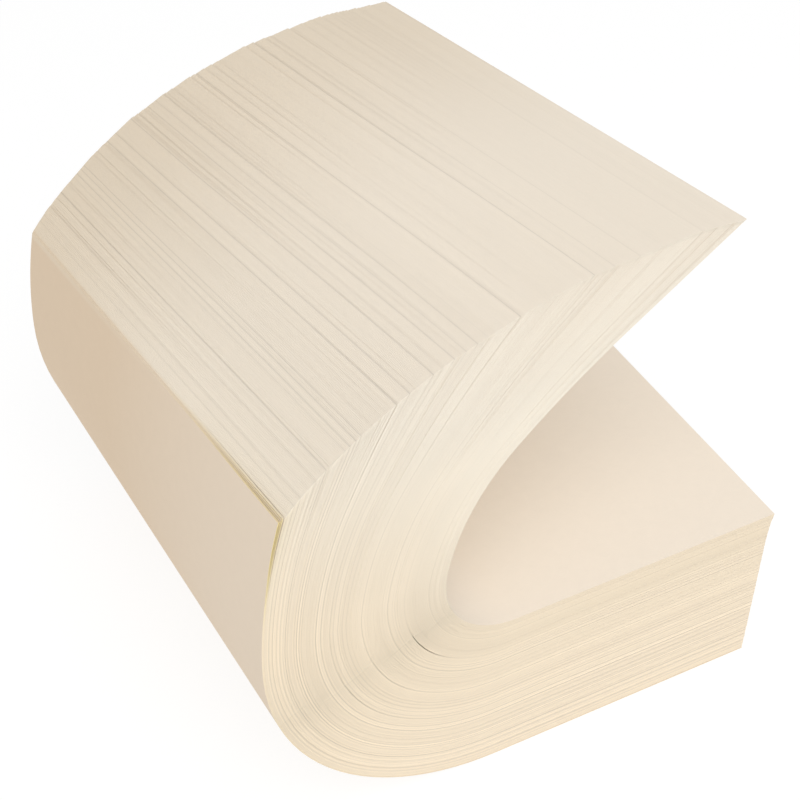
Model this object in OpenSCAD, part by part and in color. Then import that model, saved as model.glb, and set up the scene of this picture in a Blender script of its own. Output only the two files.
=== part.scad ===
// A ream of loose cream paper, bent up and over on itself for fanning.
// The lower half lies flat. The sheets then turn up through one round bend and
// lean back over the lower half. All sheets are equally long and start flush,
// so on the way round the outer ones fall behind and the free ends form a slope.
// The fold is a little out of square with the sheets, which swings the upper
// half sideways. The stack has parted into lifts of sheets that cling together.

/* [Sheets] */
// Length of a sheet, along the bend
sheet_l = 330; // [300:1:345]
// Width of a sheet, across the bend
sheet_w = 216; // [148:1:240]
// Number of sheets in the ream
sheets = 500; // [400:10:560]
// Thickness of one sheet
caliper = 0.130; // [0.11:0.002:0.14]
// Air above each sheet where the stack lies loose, at the flush end
air_loose = 0.0306; // [0.02:0.0002:0.04]
// Air above each sheet where the ends fan, at the free end
air_fanned = 0.060; // [0.045:0.005:0.08]

/* [Outermost sheet] */
// Length of the underside that lies flat
flat_l = 118.8; // [100:0.2:135]
// Radius of the main bend
bend_r = 91.4; // [84:0.2:110]
// Angle of the main bend
bend_a = 94; // [85:0.5:100]
// Radius of the shoulder above the bend
shoulder_r = 198; // [165:1:240]
// Angle of the shoulder
shoulder_a = 15; // [10:0.5:20]
// Radius of the upper half
arm_r = 393; // [320:1:480]
// Angle over which the upper half keeps curving
arm_a = 9.6; // [5:0.2:15]

/* [Innermost sheet] */
// Angle by which the top of the flat half falls toward the bend
dip_a = 1.06; // [0:0.02:2]
// Length from the flush end to the bend
inner_l = 113.8; // [100:0.2:130]
// Radius of the main bend
inner_bend_r = 28.6; // [20:0.2:34]
// Angle of the main bend
inner_bend_a = 104.8; // [95:0.2:115]
// Radius of the shoulder above the bend
inner_shoulder_r = 73.6; // [60:0.2:90]
// Angle of the shoulder
inner_shoulder_a = 40.2; // [30:0.2:50]
// Radius of the upper half
inner_arm_r = 312; // [240:1:400]
// Angle over which the upper half keeps curving
inner_arm_a = 9.8; // [5:0.2:15]

/* [Whole stack] */
// Angle by which the fold is out of square with the sheets
skew_a = 4.5; // [2:0.5:7]
// Share of the height by which the middle sheet lies further in than halfway: flat half
lean_flat = 0.046; // [0:0.002:0.05]
// The same in the main bend
lean_bend = 0.01; // [-0.02:0.002:0.03]
// The same above the shoulder
lean_shoulder = -0.036; // [-0.05:0.002:0]
// The same at the free ends
lean_end = -0.02; // [-0.05:0.002:0]

/* [Lifts] */
// Number of lifts, the bundles of sheets that cling together
lifts = 40; // [20:1:44]
// How far lifts differ in thickness, as a share
lift_spread = 0.45; // [0:0.05:0.6]
// Gap between lifts where the stack is pressed
lift_gap = 0.12; // [0.08:0.01:0.2]
// Extra width of a parting where the stack lies open
parting_w = 0.7; // [0:0.1:1.2]
// How far the edges of lifts stand out of line with each other
jog = 0.25; // [0:0.05:1]
// Number of outermost lifts that have yellowed and spring away from the stack
peeled_lifts = 2; // [1:1:6]
// How far the outermost lift springs away at its free end
peel_h = 1.6; // [0:0.2:5]
// Length over which the outermost lifts spring away
peel_l = 70; // [50:5:100]

/* [Paper] */
// Colour of the lifts in the middle and inside of the bend
cream = [0.94, 0.90, 0.81];
// Colour of the outermost lifts, which have yellowed at the edges
yellowed = [0.93, 0.87, 0.70];

/* [Hidden] */
// Facets of the bends: length of each along the outermost sheet
bend_step = 8;
arm_step = 11;
// Closest that a corner comes to a facet's edge before the two are merged
corner_tol = 0.8;
// Partings that stand open: after which share of the stack, from outside
partings = [0.048, 0.145, 0.22, 0.315, 0.39, 0.56, 0.695, 0.82, 0.93];
// Golden angle, which scatters the lifts' sizes and edges without repeats
scatter_a = 137.508;
// Straight length past the last arc, more than any sheet needs
tail_l = 70;

// Heights of the whole stack where it is loose, pressed and fanned
loose_h = sheets * (caliper + air_loose);
pressed_h = sheets * caliper;
fanned_h = sheets * (caliper + air_fanned);

function arc_l(r, a) = PI * r * a / 180;
function ease(x) = let(t = min(max(x, 0), 1)) t * t * (3 - 2 * t);
function sum_to(v, n) = n <= 0 ? 0 : v[n - 1] + sum_to(v, n - 1);

// Legs of both lines: [length, angle, number of facets]. They pair up, so that
// a facet of the outermost sheet has one of the innermost sheet opposite.
bend_n = ceil(arc_l(bend_r, bend_a) / bend_step);
shoulder_n = ceil(arc_l(shoulder_r, shoulder_a) / arm_step);
arm_n = ceil(arc_l(arm_r, arm_a) / arm_step);
outer_legs = [
    [flat_l, 0, 2],
    [arc_l(bend_r, bend_a), bend_a, bend_n],
    [arc_l(shoulder_r, shoulder_a), shoulder_a, shoulder_n],
    [arc_l(arm_r, arm_a), arm_a, arm_n],
    [tail_l, 0, 1]
];
inner_legs = [
    [inner_l, 0, 2],
    [arc_l(inner_bend_r, inner_bend_a), inner_bend_a, bend_n],
    [arc_l(inner_shoulder_r, inner_shoulder_a), inner_shoulder_a, shoulder_n],
    [arc_l(inner_arm_r, inner_arm_a), inner_arm_a, arm_n],
    [tail_l, 0, 1]
];

// Chords of the legs, each as a step back along the flat and up
function chords(legs, from_a) = [
    for (k = 0, a = from_a; k < len(legs); a = a + legs[k][1], k = k + 1)
        let(
            n = legs[k][2],
            da = legs[k][1] / n,
            l = legs[k][0] / n * (da == 0 ? 1 : sin(da / 2) / (da * PI / 360))
        )
        each [for (i = [0.5:1:n]) l * [-cos(a + da * i), sin(a + da * i)]]
];
function walk(first, moves) = [
    for (i = 0, q = first; i <= len(moves); q = i < len(moves) ? q + moves[i] : q, i = i + 1) q
];

// Section of the outermost and of the innermost sheet: [x, z] at each station
spine = walk([0, 0], chords(outer_legs, 0));
lining = walk([0, loose_h], chords(inner_legs, -dip_a));
last = len(spine) - 1;

// Length along the outermost sheet at each station
stations = concat([0], [
    for (k = 0, l = 0; k < len(outer_legs); l = l + outer_legs[k][0], k = k + 1)
        each [for (i = [1:outer_legs[k][2]]) l + outer_legs[k][0] * i / outer_legs[k][2]]
]);

// Way through the stack at a station, its height, and how far it stands open
heights = [for (i = [0:last]) norm(lining[i] - spine[i])];
inward = [for (i = [0:last]) (lining[i] - spine[i]) / heights[i]];
openness = [
    for (h = heights) min(max((h - pressed_h) / (fanned_h - pressed_h), 0), 1)
];

// How far the middle sheets lean inward at a station
shoulder_from = flat_l + arc_l(bend_r, bend_a);
arm_from = shoulder_from + arc_l(shoulder_r, shoulder_a);
arm_to = arm_from + arc_l(arm_r, arm_a);
leans = [
    for (p = stations)
        lookup(p, [
            [flat_l, lean_flat],
            [(flat_l + shoulder_from) / 2, lean_bend],
            [arm_from, lean_shoulder],
            [arm_to, lean_end]
        ])
];

// Share of the paper in each lift, and where in the stack each one starts
weights = [for (j = [0:lifts - 1]) 1 + lift_spread * sin(j * scatter_a)];
weight_all = sum_to(weights, lifts);
starts = [for (j = [0:lifts]) sum_to(weights, j) / weight_all];

// Partings that stand open below each lift, counted from outside
opened = [for (j = [0:lifts - 1]) len([for (u = partings) if (u < starts[j]) 1])];

// Depth of share u of the paper inside the stack, seen from lift j, at station i
function depth(u, j, i) =
    let(
        gaps = lift_gap * (lifts - 1) + parting_w * openness[i] * opened[lifts - 1],
        below = lift_gap * j + parting_w * openness[i] * opened[j]
    )
    (u + 4 * leans[i] * u * (1 - u)) * (heights[i] - gaps) + below - peeled(j, stations[i]);

// How far an outermost lift has sprung out of the stack
function peeled(j, p) =
    peel_h * pow(max(1 - j / peeled_lifts, 0), 2)
    * ease((p - sheet_l + peel_l) / peel_l);

// Section and running length of a face of lift j
function face(u, j) = [for (i = [0:last]) spine[i] + depth(u, j, i) * inward[i]];
function lengths(line) = [
    for (i = 0, l = 0; i <= last; l = i < last ? l + norm(line[i + 1] - line[i]) : l, i = i + 1) l
];

// Point of a section at length s, carried on straight before its first point
function along(line, runs, s) =
    let(
        i = min(max(len([for (l = runs) if (l <= s) 1]), 1), last),
        t = (s - runs[i - 1]) / (runs[i] - runs[i - 1])
    )
    line[i - 1] + t * (line[i] - line[i - 1]);

// A sheet is flat in s, along it, and v, across it. The fold's own direction
// needs the length square to the fold, and the place along the fold.
function square_to_fold(s, v) = s * cos(skew_a) - v * sin(skew_a);
function along_fold(run, v) = run * tan(skew_a) + v / cos(skew_a);

// Outline of one face of a lift: [near points, far points, index of far corner].
// Near and far points of one index lie on one straight line along the fold.
function outline(u, j, s0, v0) =
    let(
        line = face(u, j),
        runs = lengths(line),
        s1 = s0 + sheet_l,
        v1 = v0 + sheet_w,
        near_from = square_to_fold(s0, v0),
        near_to = square_to_fold(s1, v0),
        far_from = square_to_fold(s0, v1),
        far_to = square_to_fold(s1, v1),
        before = [for (l = runs) if (l > near_from + corner_tol && l < far_to - corner_tol) l],
        after = [for (l = runs) if (l > far_to + corner_tol && l < near_to - corner_tol) l],
        near_runs = concat([near_from], before, [far_to], after, [near_to]),
        far_runs = concat([far_from], before, [far_to], after),
        corner = len(before) + 1
    )
    [
        [for (r = near_runs) at(line, runs, r, v0)],
        [
            for (i = [0:len(far_runs) - 1])
                let(r = far_runs[i])
                at(line, runs, r, i <= corner ? v1 : (s1 * cos(skew_a) - r) / sin(skew_a))
        ],
        corner
    ];
function at(line, runs, r, v) =
    let(xz = along(line, runs, r)) [xz.x, along_fold(r, v), xz.y];

function span(from, to) = [for (i = [from:1:to]) i];
function slice(v, from, to) = [for (i = [from:1:to]) v[i]];

// Triangles between two rows of points, fanned where one row is longer
function strip(a, b) =
    let(n = min(len(a), len(b)))
    concat(
        [for (i = [0:1:n - 2]) each [[a[i], a[i + 1], b[i]], [a[i + 1], b[i + 1], b[i]]]],
        [for (i = [n:1:len(a) - 1]) [a[i - 1], a[i], b[n - 1]]],
        [for (i = [n:1:len(b) - 1]) [a[n - 1], b[i], b[i - 1]]]
    );

// One lift: sheets from share u0 to u1 of the stack as one thin curved solid
module lift(j) {
    s0 = jog * sin(j * scatter_a * 2 + 40);
    v0 = jog * cos(j * scatter_a * 3);
    outer = outline(starts[j], j, s0, v0);
    inner = outline(starts[j + 1], j, s0, v0);
    points = concat(outer[0], outer[1], inner[0], inner[1]);

    // Rows of point numbers; both far rows end in the near row's last corner
    n_outer = len(outer[0]);
    n_inner = len(inner[0]);
    first_inner = 2 * n_outer - 1;
    outer_near = span(0, n_outer - 1);
    outer_far = concat(span(n_outer, 2 * n_outer - 2), [n_outer - 1]);
    inner_near = span(first_inner, first_inner + n_inner - 1);
    inner_far = concat(
        span(first_inner + n_inner, first_inner + 2 * n_inner - 2),
        [first_inner + n_inner - 1]
    );
    sides = concat(
        facets(outer_near, outer_far),
        facets(inner_far, inner_near),
        strip(inner_near, outer_near),
        strip(slice(outer_far, 0, outer[2]), slice(inner_far, 0, inner[2])),
        strip(
            slice(outer_far, outer[2], n_outer - 1),
            slice(inner_far, inner[2], n_inner - 1)
        ),
        [[outer_near[0], outer_far[0], inner_far[0], inner_near[0]]]
    );
    color(j < peeled_lifts ? yellowed : cream)
        translate([flat_l / 2, -sheet_w / 2, 0])
            rotate([0, 0, skew_a])
                polyhedron(points, sides);
}

// Flat facets between a near and a far row that may share their last point
function facets(a, b) = [
    for (i = [0:1:len(a) - 2])
        a[i + 1] == b[i + 1] ? [a[i], a[i + 1], b[i]] : [a[i], a[i + 1], b[i + 1], b[i]]
];

function lift_name(j) = str("sheets_", j < 9 ? "0" : "", j + 1);

for (j = [0:lifts - 1])
    lift(j);
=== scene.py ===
import math

import bpy
import numpy as np
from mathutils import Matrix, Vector


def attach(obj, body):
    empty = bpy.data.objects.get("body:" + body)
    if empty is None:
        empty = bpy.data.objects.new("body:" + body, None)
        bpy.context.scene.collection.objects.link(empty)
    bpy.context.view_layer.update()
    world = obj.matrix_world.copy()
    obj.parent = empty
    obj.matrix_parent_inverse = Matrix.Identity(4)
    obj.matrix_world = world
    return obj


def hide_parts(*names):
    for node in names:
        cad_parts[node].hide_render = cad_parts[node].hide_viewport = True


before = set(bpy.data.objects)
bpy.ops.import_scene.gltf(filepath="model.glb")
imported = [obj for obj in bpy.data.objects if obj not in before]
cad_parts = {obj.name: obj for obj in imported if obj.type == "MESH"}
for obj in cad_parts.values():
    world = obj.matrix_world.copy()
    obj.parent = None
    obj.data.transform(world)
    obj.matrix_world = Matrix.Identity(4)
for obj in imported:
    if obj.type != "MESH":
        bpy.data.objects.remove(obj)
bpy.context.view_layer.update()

# The outermost lifts. A ream is 500 loose sheets of bulky uncoated paper, cut square in
# one stack, that cling together in lifts. These two lie underneath and round the outside
# of the bend, have yellowed along their cut edges, and spring apart at one corner.
MM = 0.001
SHEETS = 500
SHEET_L = 330 * MM
SHEET_W = 216 * MM
SHEET_T = 0.12 * MM

# The stack folds about a line that is a little out of square with the sheets. Square to
# it, the outermost and the innermost sheet follow five legs each: straight ones with their
# length, arcs with their radius and their angle in degrees. The steps of the two pair up.
# At the flush end the stack is loose, and the innermost sheet dips from there to the bend.
SKEW = math.radians(4.5)
LOOSE_H = 80.3 * MM
DIP = math.radians(1.06)
OUTER_LEGS = [(118.8, 0), (91.4, 94), (198, 15), (393, 9.6), (70, 0)]
INNER_LEGS = [(113.8, 0), (28.6, 104.8), (73.6, 40.2), (312, 9.8), (70, 0)]
LEG_STEPS = (24, 60, 24, 30, 24)
LEAD_STEPS = 9
FLAT_L = OUTER_LEGS[0][0] * MM


def walk(height, heading, legs):
    """Line of a sheet from its flush end.

    Each step adds its length in the direction that the sheet has turned to halfway
    through it. One long step before the first lets a sheet stand out at the flush end.
    """
    moves = []
    for (size, degrees), steps in zip(legs, LEG_STEPS):
        angle = math.radians(degrees)
        length = size * MM * (angle if angle else 1)
        halfway = heading + angle * (np.arange(steps) + 0.5) / steps
        moves.append(length / steps * np.stack([-np.cos(halfway), np.sin(halfway)], -1))
        heading += angle
    moves = np.concatenate(moves)
    line = np.cumsum(np.concatenate([[(0, height)], moves]), 0)
    return np.concatenate([line[:1] - LEAD_STEPS * moves[:1], line])


def lengths(line):
    """Length along a line, counted from the flush end, which is its second point."""
    length = np.concatenate([[0], np.cumsum(np.linalg.norm(np.diff(line, axis=0), axis=1))])
    return length - length[1]


SPINE = walk(0, 0, OUTER_LEGS)
ACROSS = walk(LOOSE_H, -DIP, INNER_LEGS) - SPINE
PLACE = lengths(SPINE)
BEND_TO, SHOULDER_TO, ARM_TO = PLACE[1 + np.cumsum(LEG_STEPS)[1:4]]

# How far the middle sheets lie inward of the middle, as a share, at these places
LEAN_AT = (FLAT_L, (FLAT_L + BEND_TO) / 2, SHOULDER_TO, ARM_TO)
LEAN = np.interp(PLACE, LEAN_AT, (0.046, 0.01, -0.036, -0.02))

# Share of the stack that is air, from its height square to the middle sheet
middle_run = np.gradient(SPINE + ACROSS / 2, axis=0)
middle_run /= np.linalg.norm(middle_run, axis=1)[:, None]
square_height = abs(ACROSS[:, 0] * middle_run[:, 1] - ACROSS[:, 1] * middle_run[:, 0])
SLACK_LIMITS = (0.03, 0.45)
SLACK = np.clip(1 - SHEETS * SHEET_T / square_height, *SLACK_LIMITS)

# First sheet of each lift, counted from outside. Lifts are thicker and thinner by turns
# of the golden angle, and the first ones have yellowed.
LIFTS = 40
LIFT_SPREAD = 0.45
SCATTER = math.radians(137.508)
YELLOWED = 2
lift_share = 1 + LIFT_SPREAD * np.sin(np.arange(LIFTS) * SCATTER)
starts = np.concatenate([[0], np.cumsum(lift_share)]) / lift_share.sum()
FIRST = np.round(starts * SHEETS).astype(int)

# Bundles are the few sheets that keep their edges in line. This share of the sheets
# starts a new one.
BUNDLE_STARTS = 0.13
rng = np.random.default_rng(11)
bundle = np.cumsum(rng.random(SHEETS) < BUNDLE_STARTS)
bundles = bundle[-1] + 1
bundle_end = np.append(np.diff(bundle), 0)

# Partings that go right through: share of the stack from outside, and their strength
PARTINGS = {
    0.040: 0.5,
    0.060: 0.5,
    0.082: 0.3,
    0.100: 0.5,
    0.130: 0.7,
    0.140: 0.4,
    0.178: 0.5,
    0.191: 0.8,
    0.204: 0.6,
    0.216: 0.5,
    0.297: 1.0,
    0.324: 0.9,
    0.375: 0.7,
    0.392: 0.3,
    0.418: 0.5,
    0.441: 0.4,
    0.463: 0.5,
    0.482: 0.3,
    0.546: 0.7,
    0.612: 0.2,
    0.686: 0.7,
    0.724: 0.4,
    0.772: 0.3,
    0.906: 0.4,
    0.962: 0.3,
}
# Partings that gape only in the bend, at the near edge: their share, the middle of the
# gape along the sheet, how far it reaches from there, and how wide it opens
GAPING = [
    (0.772, 206 * MM, 20 * MM, 15),
    (0.546, 208 * MM, 26 * MM, 3),
    (0.375, 215 * MM, 30 * MM, 3),
]


def ease(x):
    """Goes smoothly from 0 to 1 as x does: three x squared less two x cubed."""
    t = np.clip(x, 0, 1)
    return t * t * (3 - 2 * t)


# Air on the inner side of each sheet, against that of a plain one, at places along and
# across the sheets. It gathers at the ends of lifts and bundles and at the partings, and
# three long waves vary it slowly, which turn less or more often over a sheet.
AIR_AT = np.arange(-48, 465, 8) * MM
AIR_W = np.linspace(0, 1, 9)
SHEET_AIR_SPREAD = 0.35
LIFT_AIR = 1
BUNDLE_AIR = 6
PARTING_AIR = 8
WAVES = (3, SHEETS, 1, 1)
TURNS_ACROSS = (0.3, 2.2)
TURNS_ALONG = (0.2, 1.4)
WAVE = 0.35
PARTING_WAVE = 0.25
air = rng.lognormal(0, SHEET_AIR_SPREAD, SHEETS)
air += bundle_end * rng.uniform(0, BUNDLE_AIR, SHEETS)
air[FIRST[1:-1] - 1] += LIFT_AIR
phase = rng.random(WAVES)
turns_across = rng.uniform(*TURNS_ACROSS, WAVES) * AIR_W
turns_along = rng.uniform(*TURNS_ALONG, WAVES) * (AIR_AT / SHEET_L)[:, None]
waves = np.sin(2 * np.pi * (phase + turns_across + turns_along)).sum(0)
air = air[:, None, None] * np.exp(WAVE * waves)
for share, strength in PARTINGS.items():
    k = int(share * SHEETS)
    air[k] += PARTING_AIR * strength * np.exp(PARTING_WAVE * waves[k])

# The tight bend evens out most of this, and the fan beyond it gets some of it back. At
# the far side more of the free ends stand apart, and a few partings gape in the bend.
BENT_FROM = 80 * MM
FANNED_FROM = 230 * MM
EASE_L = 70 * MM
BEND_EVENS = 0.85
FAN_BACK = 0.3
FAR_SHEETS = 45
FAR_AIR = (6, 30)
FAR_FROM = 0.35
FAR_OVER = 0.55
GAPE_TO = 0.6
bent = ease((AIR_AT - BENT_FROM) / EASE_L)
fanned = ease((AIR_AT - FANNED_FROM) / EASE_L)
air = 1 + (air - 1) * (1 - BEND_EVENS * bent + FAN_BACK * fanned)[:, None]
far = rng.choice(SHEETS, FAR_SHEETS, replace=False)
far_air = rng.uniform(*FAR_AIR, (FAR_SHEETS, 1, 1))
air[far] += far_air * fanned[:, None] * ease((AIR_W - FAR_FROM) / FAR_OVER)
for share, gape_at, reach, width in GAPING:
    gape = np.exp(-(((AIR_AT - gape_at) / reach) ** 2))
    air[int(share * SHEETS)] += width * gape[:, None] * ease(1 - AIR_W / GAPE_TO)

# All the air on the outer side of each sheet, as a share of the air in the stack
air_outside = np.concatenate([np.zeros_like(air[:1]), np.cumsum(air[:-1], 0)])
air_outside /= air_outside[-1]

# The near corner of the free ends, where the outermost sheets spring apart: the gaps on
# the inner side of these sheets, and how far in from the corner they close
CORNER_GAPS = {1: 0.25 * MM, 2: 0.2 * MM, 3: 0.2 * MM, 5: 0.45 * MM, 9: 0.1 * MM}
CORNER_L = 36 * MM
CORNER_W = 70 * MM

# How far each sheet's edges stand out of line, along and across: a slow drift through
# the stack, then bundles and single sheets
DRIFT_AT = (0, 0.1, 0.4, 0.78, 0.93, 0.985, 1)
DRIFT = (0.3, 0.3, 0.5, 0.9, 0.3, -0.4, -0.5)
BUNDLE_JOG = (0.05, 0.025)
SHEET_JOG = (0.015, 0.008)
inner = (np.arange(SHEETS) + 0.5) / SHEETS
jog = rng.normal(0, BUNDLE_JOG, (bundles, 2))[bundle]
jog += rng.normal(0, SHEET_JOG, (SHEETS, 2))
jog[:, 0] += np.interp(inner, DRIFT_AT, DRIFT)
jog *= MM

# How far whole lifts are turned in their plane, given as a shift of the near free corner
TURNED_AT = (0, 0.04, 0.18, 0.21, 0.32, 0.42, 0.46, 0.52, 0.64, 0.72, 0.80, 0.95, 1)
TURNED = (-0.4, 0, 0, -0.15, 0.15, 0.2, -0.05, 0.2, 0.35, 0.2, -0.25, -0.3, -0.2)
BUNDLE_TURN = 0.0001
turn = np.interp(inner, TURNED_AT, TURNED) * MM / SHEET_L
turn += rng.normal(0, BUNDLE_TURN, bundles)[bundle]

# Tone of each sheet's cut edge: a slow drift through the stack, bundles and single sheets,
# then painted shade in the partings and a little beside them, and painted light on the
# sheets just beyond, as on ledges that catch the light
TONE_AT = (0, 0.10, 0.20, 0.70, 0.75, 0.80, 0.85, 0.93)
TONE = (0.9, 0.9, 0, 0, 0.8, -0.6, -1.5, 0)
TONE_SPREAD = 0.5
PARTING_SHADE = 8
SHADE_BESIDE = 2
LEDGE_LIGHT = 3
LEDGE_LIGHT_RANGE = (0.3, 1.2)
tone = np.interp(inner, TONE_AT, TONE)
tone += rng.normal(0, TONE_SPREAD, bundles)[bundle] + rng.normal(0, TONE_SPREAD, SHEETS)
for share, strength in PARTINGS.items():
    k = int(share * SHEETS)
    tone[k] -= PARTING_SHADE * strength
    tone[k - 1 : k + 2] -= SHADE_BESIDE * strength
    tone[k + 3 : k + 6] += LEDGE_LIGHT * strength * rng.uniform(*LEDGE_LIGHT_RANGE)
    tone[k - 5 : k - 2] += LEDGE_LIGHT * strength * rng.uniform(*LEDGE_LIGHT_RANGE)

# How much each sheet has aged: the outermost two fully and the next few less and less.
# Beyond them a slight aging fades away inward.
age = ease(1.35 - inner * 85) + 0.15 * np.exp(-inner * 16)


def between(table, x, y):
    """Value of a table between its rows and columns, mixed in a straight line both ways."""
    i = np.clip(x.astype(int), 0, table.shape[0] - 2)
    j = np.clip(y.astype(int), 0, table.shape[1] - 2)
    u, v = x - i, y - j
    low = table[i, j] * (1 - v) + table[i, j + 1] * v
    high = table[i + 1, j] * (1 - v) + table[i + 1, j + 1] * v
    return low * (1 - u) + high * u


def share_inward(k, place, w):
    """Where sheet k lies on the way from the outermost to the innermost line.

    That is its number's share of the paper and its share of the air, weighed by how
    much of the stack is air there, and then the lean, which is greatest halfway.
    """
    row = (place - AIR_AT[0]) / (AIR_AT[1] - AIR_AT[0])
    slack = np.interp(place, PLACE, SLACK)
    air_share = between(air_outside[k], row, w * (len(AIR_W) - 1))
    share = (k + 0.5) / SHEETS * (1 - slack) + air_share * slack
    return share + 4 * np.interp(place, PLACE, LEAN) * share * (1 - share)


# Rows along a sheet: before the bend, in it, and beyond it
FLAT_ROWS = 5
BEND_ROWS = 24
FREE_ROWS = 30


def sheet_surface(k, columns):
    """Middle of sheet k: points, the inward direction there, and the places when flat.

    A point of the flat sheet is a along it and b across it, and the sheet lies a little
    shifted and turned in the stack. Turned by the skew, a and b give the run square to
    the fold and the place along the fold. The run is measured along the sheet's own
    line, which lies at its share of the way from the outermost line to the innermost,
    so the sheet keeps its length. The points of the sprung corner move outward.
    """
    # The run at the flush end of each column, and what it grows by for each metre of a
    b = columns * SHEET_W
    skew_cos, skew_sin = math.cos(SKEW), math.sin(SKEW)
    from_run = jog[k, 0] * skew_cos - jog[k, 1] * skew_sin
    from_run = from_run - b * (turn[k] * skew_cos + skew_sin)
    per_a = skew_cos - turn[k] * skew_sin
    line = SPINE + share_inward(k, PLACE, np.full_like(PLACE, 0.5))[:, None] * ACROSS
    length = lengths(line)
    step = np.gradient(line, axis=0)
    heading = np.unwrap(np.arctan2(step[:, 1], -step[:, 0]))

    # Rows: to the bend, through it along the fold, and on to the free end
    bend_run = np.interp(np.linspace(FLAT_L, BEND_TO, BEND_ROWS + 1), PLACE, length)
    t_flat = np.linspace(0, 1, FLAT_ROWS, endpoint=False)[:, None]
    t_free = np.linspace(0, 1, FREE_ROWS + 1)[1:, None]
    to_bend = from_run * (1 - t_flat) + bend_run[0] * t_flat
    to_end = bend_run[-1] * (1 - t_free) + (from_run + SHEET_L * per_a) * t_free
    run = np.concatenate([to_bend, bend_run[:, None] + 0 * b, to_end])
    a = (run - from_run) / per_a
    b = b + 0 * run

    place = np.interp(run, length, PLACE)
    angle = np.interp(place, PLACE, heading)
    sprung = sum(gap for sheet, gap in CORNER_GAPS.items() if sheet >= k)
    sprung = sprung * ease(1 - (SHEET_L - a) / CORNER_L) * ease(1 - b / CORNER_W)
    share = share_inward(k, place, columns + 0 * run)
    x = np.interp(place, PLACE, SPINE[:, 0]) + share * np.interp(place, PLACE, ACROSS[:, 0])
    z = np.interp(place, PLACE, SPINE[:, 1]) + share * np.interp(place, PLACE, ACROSS[:, 1])
    x -= sprung * np.sin(angle)
    z -= sprung * np.cos(angle)
    y = run * math.tan(SKEW) + (jog[k, 1] + b + turn[k] * a) / skew_cos

    x_of_part = x * skew_cos - y * skew_sin + FLAT_L / 2
    y_of_part = x * skew_sin + y * skew_cos - SHEET_W / 2
    points = np.stack([x_of_part, y_of_part, z], -1)
    across_fold = np.sin(angle)
    inward = np.stack([across_fold * skew_cos, across_fold * skew_sin, np.cos(angle)], -1)
    return points, inward, np.stack([a, b], -1)


def sheet_faces(rows, columns):
    """Quads of a closed thin sheet: outer face, inner face turned over, ring of cut edges.

    The inner face's points follow the outer face's, in the same order. The last quads
    are the cut edges, and how many they are is given too.
    """
    grid = np.arange(rows * columns).reshape(rows, columns)
    corners = [grid[:-1, :-1], grid[1:, :-1], grid[1:, 1:], grid[:-1, 1:]]
    outer_face = np.stack(corners, -1).reshape(-1, 4)
    inner_face = outer_face[:, ::-1] + grid.size
    ring = np.concatenate([grid[0, :-1], grid[:-1, -1], grid[-1, :0:-1], grid[:0:-1, 0]])
    next_on = np.roll(ring, -1)
    cuts = np.stack([ring, next_on, next_on + grid.size, ring + grid.size], -1)
    return np.concatenate([outer_face, inner_face, cuts]), len(cuts)


# Columns across a sheet, closer together on the first and last ones, whose faces show
COLUMNS = np.array([0, 0.1, 0.25, 0.5, 0.75, 1])
FINE_COLUMNS = np.concatenate([np.linspace(0, 0.3, 9), np.linspace(0.4, 1, 7)])
FINE_FROM_END = 18
SHARP_FROM = math.radians(50)


def dress_lift(j, material):
    """All the sheets of one lift as one mesh, which stands for the lift's plain solid.

    Each sheet's faces lie half its thickness outward and inward of its middle.
    """
    points, faces, places, cuts, tones, ages, inners = [], [], [], [], [], [], []
    count = 0
    for k in range(FIRST[j], FIRST[j + 1]):
        shown = k < FINE_FROM_END or k >= SHEETS - FINE_FROM_END
        middle, inward, place = sheet_surface(k, FINE_COLUMNS if shown else COLUMNS)
        quads, rim = sheet_faces(*middle.shape[:2])
        half = inward * SHEET_T / 2
        points += [(middle - half).reshape(-1, 3), (middle + half).reshape(-1, 3)]
        places += [place.reshape(-1, 2)] * 2
        faces.append(quads + count)
        count += 2 * middle[..., 0].size
        cuts.append(np.arange(len(quads)) >= len(quads) - rim)
        tones.append(np.full(len(quads), tone[k]))
        ages.append(np.full(len(quads), age[k]))
        inners.append(np.full(len(quads), inner[k]))
    name = f"sheets_{j + 1:02d}"
    mesh = bpy.data.meshes.new(name + "_paper")
    mesh.from_pydata(np.concatenate(points), [], np.concatenate(faces))
    point_of_loop = np.empty(len(mesh.loops), int)
    mesh.loops.foreach_get("vertex_index", point_of_loop)
    layer = mesh.uv_layers.new(name="flat_sheet")
    layer.data.foreach_set("uv", np.concatenate(places)[point_of_loop].ravel())
    for key, values in (("cut", cuts), ("tone", tones), ("age", ages), ("inner", inners)):
        attribute = mesh.attributes.new(key, "FLOAT", "FACE")
        attribute.data.foreach_set("value", np.concatenate(values).astype(np.float32))
    mesh.shade_smooth()
    mesh.set_sharp_from_angle(angle=SHARP_FROM)
    mesh.materials.append(material)
    paper = bpy.data.objects.new(name + "_paper", mesh)
    bpy.context.scene.collection.objects.link(paper)
    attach(paper, "root")
    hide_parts(name)


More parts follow.
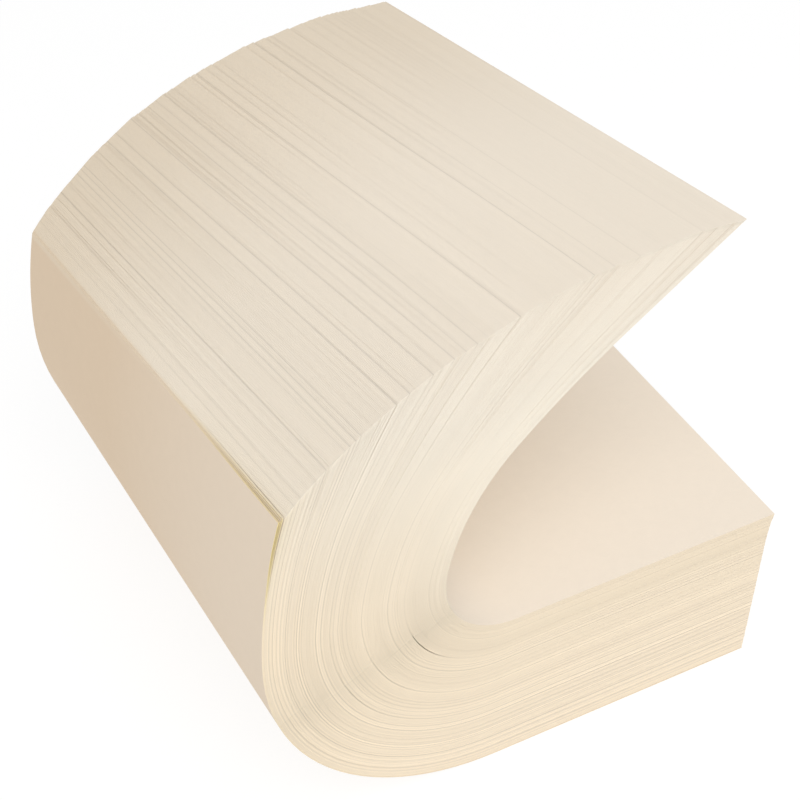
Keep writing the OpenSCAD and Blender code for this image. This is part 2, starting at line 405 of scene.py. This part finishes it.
class Wire:
    """One socket of a material. Arithmetic on wires adds Math nodes."""

    def __init__(self, tree, socket=None):
        self.tree = tree
        self.socket = socket

    def node(self, kind, settings, sockets, out=0):
        """Adds a node: first its settings, then a value or a wire for each of its sockets."""
        made = self.tree.nodes.new(kind)
        for key, value in settings.items():
            setattr(made, key, value)
        for key, value in sockets.items():
            if isinstance(value, Wire):
                self.tree.links.new(value.socket, made.inputs[key])
            else:
                made.inputs[key].default_value = value
        return Wire(self.tree, made.outputs[out] if made.outputs else None)

    def math(self, operation, first, second):
        """Adds a Math node for one operation on two wires or numbers."""
        return self.node("ShaderNodeMath", {"operation": operation}, {0: first, 1: second})

    def __add__(self, other):
        return self.math("ADD", self, other)

    def __sub__(self, other):
        return self.math("SUBTRACT", self, other)

    def __rsub__(self, other):
        return self.math("SUBTRACT", other, self)

    def __mul__(self, other):
        return self.math("MULTIPLY", self, other)

    __radd__ = __add__
    __rmul__ = __mul__

    def mixed(self, amount, first, second):
        """Colour that goes from the first to the second as the amount goes from 0 to 1."""
        colour_sockets = {0: amount, 6: first, 7: second}
        return self.node("ShaderNodeMix", {"data_type": "RGBA"}, colour_sockets, 2)

    def eased(self, low, high):
        """Goes smoothly from 0 to 1 as this wire goes from low to high."""
        settings = {"interpolation_type": "SMOOTHSTEP"}
        return self.node("ShaderNodeMapRange", settings, {0: self, 1: low, 2: high, 3: 0, 4: 1})


def colour(code):
    """Linear colour of a written one: six hexadecimal digits."""
    parts = [int(code[i : i + 2], 16) / 255 for i in (0, 2, 4)]
    return *[c / 12.92 if c <= 0.04045 else ((c + 0.055) / 1.055) ** 2.4 for c in parts], 1


def new_material(name):
    """An empty material and the wire that starts its nodes."""
    material = bpy.data.materials.new(name)
    material.use_nodes = True
    material.node_tree.nodes.clear()
    return material, Wire(material.node_tree)


FACE = colour("F2E7D8")
FACE_AGED_SHADED = colour("E0CBB1")
CUT = colour("F7E7CD")
CUT_LIT_ABOVE = colour("F6EFE0")
FREE_END_LIT = colour("F6EEDF")
STEPPED_LIT = colour("F3E9DA")
FAR_STEP_SHADE = colour("E4D5BE")
AGED = colour("F1DD88")

# Clouds and fibres in the paper, as turns in a metre. The fibres are drawn out along it.
CLOUD_SCALE = 260
FIBRE_SCALE = 2600
FIBRE_DRAW = 0.3

# Where the strip of each face that shows in the steps begins, and where the cut follows
STEP_FROM = SHEET_L - 3 * MM
STEP_TO = SHEET_L - 1 * MM


def paper_material(name, aging):
    """Uncoated cream paper: cloudy formation, fibres along the sheet, and warmer cut edges.

    Each sheet's edge has its own tone, with painted shade and light at the partings. Painted
    light from above makes the edges paler beyond the bend, the outer sheets' later than the
    inner ones', and the upward free ends paler too. Aging turns the cut edges yellow, most of
    all at the near corner of the free end, and the outermost face tan, with painted shade
    making it darker low down and at the far side. The free ends form steps that show a strip
    of every sheet, painted lighter, with painted shade towards the far side.
    """
    material, start = new_material(name)
    number_out = 2
    cut = start.node("ShaderNodeAttribute", {"attribute_name": "cut"}, {}, number_out)
    tone_of = start.node("ShaderNodeAttribute", {"attribute_name": "tone"}, {}, number_out)
    age_of = start.node("ShaderNodeAttribute", {"attribute_name": "age"}, {}, number_out)
    inner_of = start.node("ShaderNodeAttribute", {"attribute_name": "inner"}, {}, number_out)
    flat = start.node("ShaderNodeUVMap", {"uv_map": "flat_sheet"}, {})
    along_it = start.node("ShaderNodeSeparateXYZ", {}, {0: flat}, 0)
    across_it = start.node("ShaderNodeSeparateXYZ", {}, {0: flat}, 1)

    # Every tone cuts its own slice out of the noise, so no pattern runs through the stack
    slice_at = tone_of * 0.37
    clouds_at = start.node("ShaderNodeCombineXYZ", {}, {0: along_it, 1: across_it, 2: slice_at})
    drawn_out = along_it * FIBRE_DRAW
    fibres_at = start.node("ShaderNodeCombineXYZ", {}, {0: drawn_out, 1: across_it, 2: slice_at})
    cloud_sockets = {"Vector": clouds_at, "Scale": CLOUD_SCALE, "Detail": 3}
    clouds = start.node("ShaderNodeTexNoise", {}, cloud_sockets)
    fibre_sockets = {"Vector": fibres_at, "Scale": FIBRE_SCALE, "Detail": 2}
    fibres = start.node("ShaderNodeTexNoise", {}, fibre_sockets)

    # The faces, their strips in the steps, the cut edges and the yellowed corner
    # The outermost face's tan is real aging, with painted shade on top of it: darker towards the
    # far side and low down
    shaded_lower_part = along_it.eased(280 * MM, 210 * MM)
    tan = age_of * (0.5 + 0.5 * across_it.eased(0, 200 * MM) + 0.18 * shaded_lower_part) * aging
    steps = along_it.eased(STEP_FROM, STEP_TO)
    face = start.mixed(tan, FACE, FACE_AGED_SHADED)
    # Painted light: the face strips in the steps face up and are painted a little lighter
    face = start.mixed(steps * (1 - age_of), face, STEPPED_LIT)
    # Painted light from above: beyond the bend the cut edges turn paler and cooler, the inner
    # sheets' sooner
    lit_beyond = (along_it + inner_of * 150 * MM).eased(270 * MM, 380 * MM)
    edge = start.mixed(lit_beyond, CUT, CUT_LIT_ABOVE)
    # Painted light: the free ends face up, and their paler, cooler colour stands in for the
    # light from above
    edge = start.mixed(along_it.eased(STEP_TO, SHEET_L), edge, FREE_END_LIT)
    corner = along_it.eased(SHEET_L - 50 * MM, SHEET_L) * across_it.eased(100 * MM, 0)
    edge = start.mixed(age_of * (0.05 + 0.95 * corner) * aging, edge, AGED)
    base = start.mixed(cut, face, edge)
    # Painted shade: the steps darken towards the far side
    base = start.mixed(steps * across_it.eased(60 * MM, SHEET_W) * 0.6, base, FAR_STEP_SHADE)

    # Painted shade and light on the edges: up to the bend the inner edges are darker, beyond it
    # the outer ones, and at the free ends the inner ones again. Where the sheets fan out,
    # painted light makes the edges palest at their ends. From the bend on the inner sheets'
    # tones are fainter, and beyond it all are. Painted shade makes the lining a little darker
    # there as well, and in the steps it darkens the strips of the partings' darkest sheets.
    bend = along_it.eased(100 * MM, 150 * MM)
    arm = along_it.eased(150 * MM, 270 * MM)
    shade_low = (1 - arm) * (0.05 - inner_of * 0.14)
    shade_arm = arm * inner_of.eased(0.9, 0) * 0.1
    shade_end = inner_of.eased(0.5, 1) * 0.03
    fan = along_it.eased(250 * MM, 325 * MM) * 0.11 - along_it.eased(190 * MM, 225 * MM) * 0.045
    shade_fan = fan * inner_of.eased(-0.05, 0.5)
    contrast = 0.038 - bend * inner_of.eased(0, 0.45) * 0.014 - lit_beyond * 0.013
    on_edge = cut * (1 - steps) * (tone_of * contrast + shade_low - shade_arm + shade_fan)
    on_steps = steps * (tone_of * 0.004 - tone_of.eased(-2, -7) * 0.11 - shade_end)
    lining_shade = (1 - cut) * inner_of * bend * -0.018
    level = 1 + on_edge + on_steps + lining_shade + (clouds - 0.5) * 0.03 + (fibres - 0.5) * 0.03
    base = start.node("ShaderNodeVectorMath", {"operation": "SCALE"}, {0: base, 3: level})
    relief = fibres + clouds * 1.5
    raised = {"Strength": 0.35, "Distance": 0.03 * MM, "Height": relief}
    bump = start.node("ShaderNodeBump", {}, raised)
    sockets = {
        "Base Color": base,
        "Roughness": 0.94 - clouds * 0.08,
        "Specular IOR Level": 0.25,
        "Normal": bump,
    }
    shader = start.node("ShaderNodeBsdfPrincipled", {}, sockets)
    start.node("ShaderNodeOutputMaterial", {}, {0: shader})
    return material


yellowed_paper = paper_material("yellowed_paper", 1)
for j in range(YELLOWED):
    dress_lift(j, yellowed_paper)

# The other lifts. The rest of the ream is the same paper, loose and cut with the first.
# It fills the bend from there to the innermost sheet, which is the top of the flat half
# and the lining of the bend.
cream_paper = paper_material("cream_paper", 0.6)
for j in range(YELLOWED, LIFTS):
    dress_lift(j, cream_paper)

# The floor. A plain white table top under the ream. Most of its white is its own glow,
# so it is even, and a soft shadow still shows on the rest.
FLOOR_HALF = 6.0
FLOOR_BELOW = 0.02 * MM
FLOOR_GLOW = 0.75
GLOW_LEVEL = 1.06
sides = (-FLOOR_HALF, FLOOR_HALF)
floor_mesh = bpy.data.meshes.new("floor")
floor_x, floor_y = np.meshgrid(sides, sides)
floor_points = np.stack([floor_x, floor_y, np.full((2, 2), -FLOOR_BELOW)], -1)
floor_mesh.from_pydata(floor_points.reshape(-1, 3), [], [(0, 1, 3, 2)])
floor = bpy.data.objects.new("floor", floor_mesh)
bpy.context.scene.collection.objects.link(floor)

white_floor, floor_start = new_material("white_floor")
table = floor_start.node("ShaderNodeBsdfDiffuse", {}, {"Color": colour("FAFAFA")})
glow_sockets = {"Color": colour("FFFFFF"), "Strength": GLOW_LEVEL}
glow = floor_start.node("ShaderNodeEmission", {}, glow_sockets)
lit_table = floor_start.node("ShaderNodeMixShader", {}, {0: FLOOR_GLOW, 1: table, 2: glow})
floor_start.node("ShaderNodeOutputMaterial", {}, {0: lit_table})
floor_mesh.materials.append(white_floor)

# The light. A pale room gives even light from all round, and one large soft lamp hangs
# over the near side.
ROOM_LEVEL = 0.62
world = bpy.data.worlds.new("studio")
bpy.context.scene.world = world
world.use_nodes = True
world.node_tree.nodes.clear()
room_start = Wire(world.node_tree)

# The camera sees the room as white, and so do reflections and anything see-through
CAMERA_RAY, GLOSSY_RAY, THROUGH_RAY = 0, 3, 6
seen = room_start.node("ShaderNodeLightPath", {}, {}, CAMERA_RAY)
glossy = room_start.node("ShaderNodeLightPath", {}, {}, GLOSSY_RAY)
through = room_start.node("ShaderNodeLightPath", {}, {}, THROUGH_RAY)
looked_at = room_start.math("MAXIMUM", room_start.math("MAXIMUM", seen, glossy), through)
room_sockets = {"Color": colour("FFFFFF"), "Strength": looked_at * (1 - ROOM_LEVEL) + ROOM_LEVEL}
room = room_start.node("ShaderNodeBackground", {}, room_sockets)
room_start.node("ShaderNodeOutputWorld", {}, {0: room})

# The lamp's power lights a white face that is turned to it to the lamp's level
AIM = Vector((-28.3, 41.4, 56.3)) * MM
LAMP_LEVEL = 0.48
LAMP_AT = Vector((-0.1, -0.56, 0.82)).normalized() * 2.2
LAMP_SIZE = 1.8
lamp = bpy.data.lights.new("soft_lamp", "AREA")
lamp.shape = "SQUARE"
lamp.size = LAMP_SIZE
lamp.energy = LAMP_LEVEL * math.pi**2 * LAMP_AT.length**2
lamp_object = bpy.data.objects.new("soft_lamp", lamp)
bpy.context.scene.collection.objects.link(lamp_object)
lamp_object.location = AIM + LAMP_AT
lamp_object.rotation_euler = (-LAMP_AT).to_track_quat("-Z", "Y").to_euler()

# The camera. It stands to the left of the near side, a good half metre away, and looks
# down on the free ends.
CAMERA_TURN = math.radians(-26.33)
CAMERA_UP = math.radians(41.05)
CAMERA_FROM = 0.66
LENS = 66.43
back_x = math.sin(CAMERA_TURN) * math.cos(CAMERA_UP)
back_y = -math.cos(CAMERA_TURN) * math.cos(CAMERA_UP)
back = Vector((back_x, back_y, math.sin(CAMERA_UP)))
camera = bpy.data.objects.new("camera", bpy.data.cameras.new("camera"))
bpy.context.scene.collection.objects.link(camera)
camera.data.lens = LENS
camera.data.sensor_width = 36
camera.data.clip_start = 0.01
camera.location = AIM + back * CAMERA_FROM
camera.rotation_euler = back.to_track_quat("Z", "Y").to_euler()
bpy.context.scene.camera = camera
bpy.context.scene.view_settings.view_transform = "Standard"
